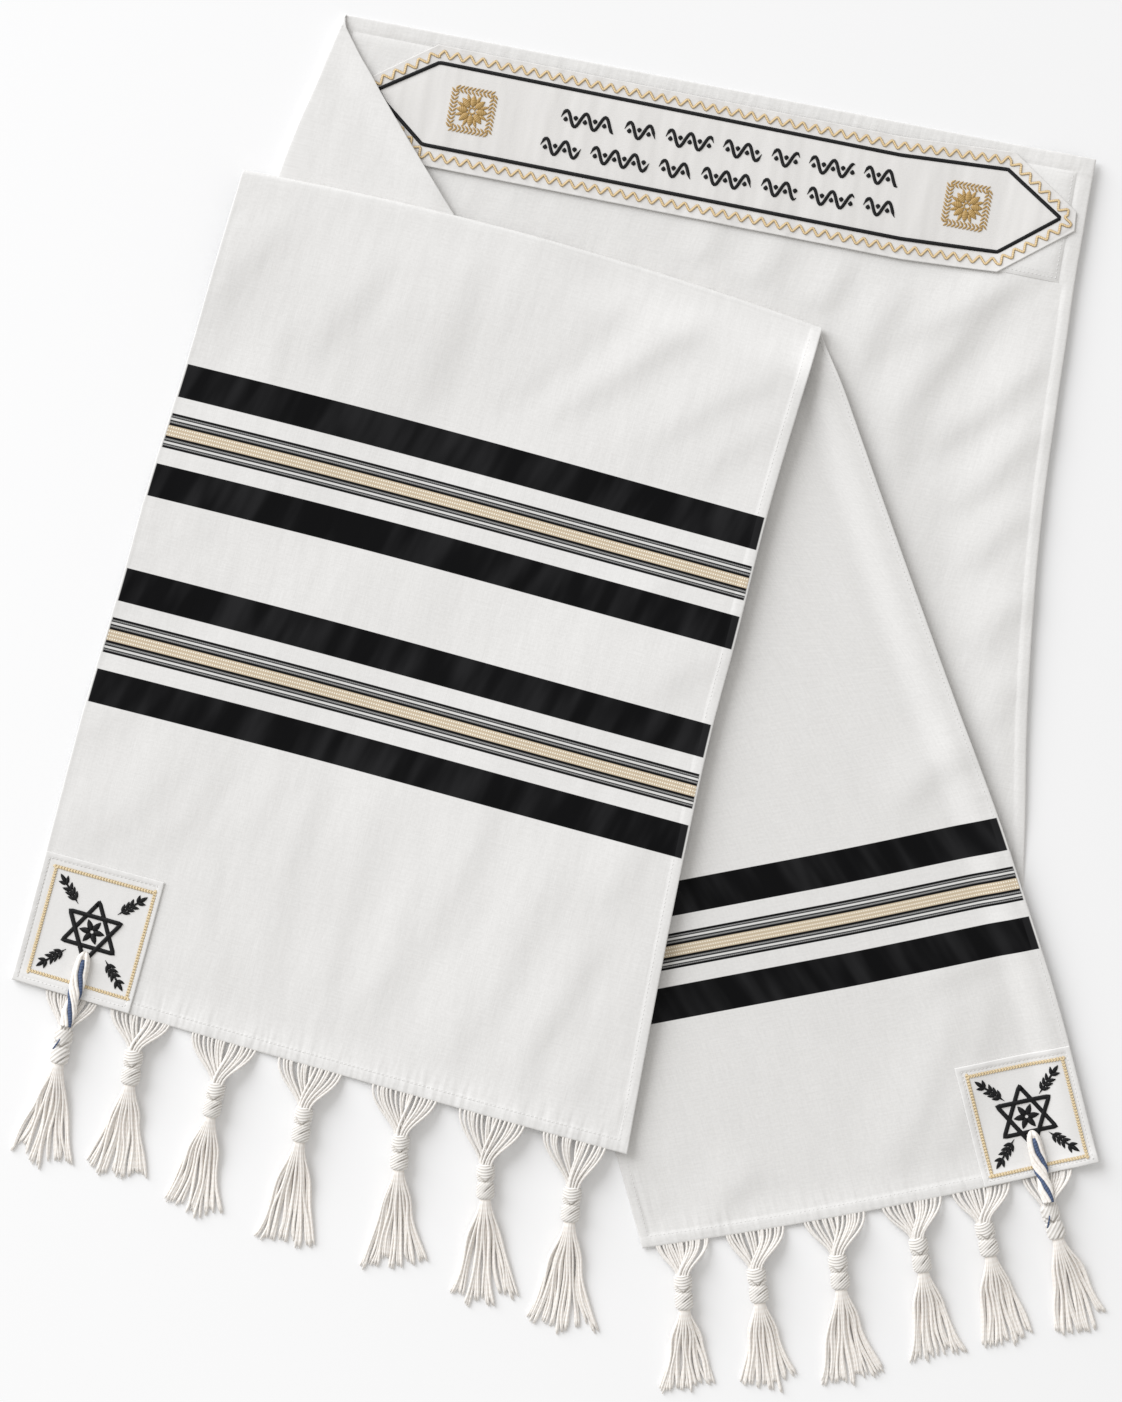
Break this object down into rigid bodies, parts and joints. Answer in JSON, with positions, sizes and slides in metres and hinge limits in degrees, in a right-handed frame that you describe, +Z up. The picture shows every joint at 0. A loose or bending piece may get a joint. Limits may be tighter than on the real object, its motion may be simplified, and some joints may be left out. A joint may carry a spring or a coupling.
{
  "type": "tallit prayer shawl",
  "caption": "Woven prayer shawl laid flat with both ends folded forward: striped panels, embroidered neck band, corner patches, tied fringe and twisted corner cords.",
  "frame": {"origin": "middle of the outline, on the surface the shawl lies on", "axes": "+X to the right as seen from above, +Y from the fringed ends towards the neck edge, +Z up off the surface"},
  "size_m": [0.8734, 1.0876, 0.0145],
  "materials": {
    "shawl_cloth": "fine plain weave, soft, off-white, with woven black satin stripes and gold braid",
    "patch_cloth": "close off-white cloth with black and gold embroidery",
    "satin": "off-white satin with black piping and gold embroidery",
    "yarn": "matt twisted yarn, warm off-white",
    "cord": "matt twisted cord, white with one dark blue thread"
  },
  "bodies": {
    "root": {"end_panels": "shawl_cloth", "neck_panel": "shawl_cloth", "neck_facing": "shawl_cloth", "neck_band": "satin", "corner_patch_left": "patch_cloth", "corner_patch_right": "patch_cloth", "front_tassel_1": "yarn", "front_tassel_2": "yarn", "front_tassel_3": "yarn", "front_tassel_4": "yarn", "front_tassel_5": "yarn", "front_tassel_6": "yarn", "front_tassel_7": "yarn", "second_tassel_1": "yarn", "second_tassel_2": "yarn", "second_tassel_3": "yarn", "second_tassel_4": "yarn", "second_tassel_5": "yarn", "second_tassel_6": "yarn", "tzitzit_left": "cord", "tzitzit_right": "cord"}
  },
  "joints": []
}
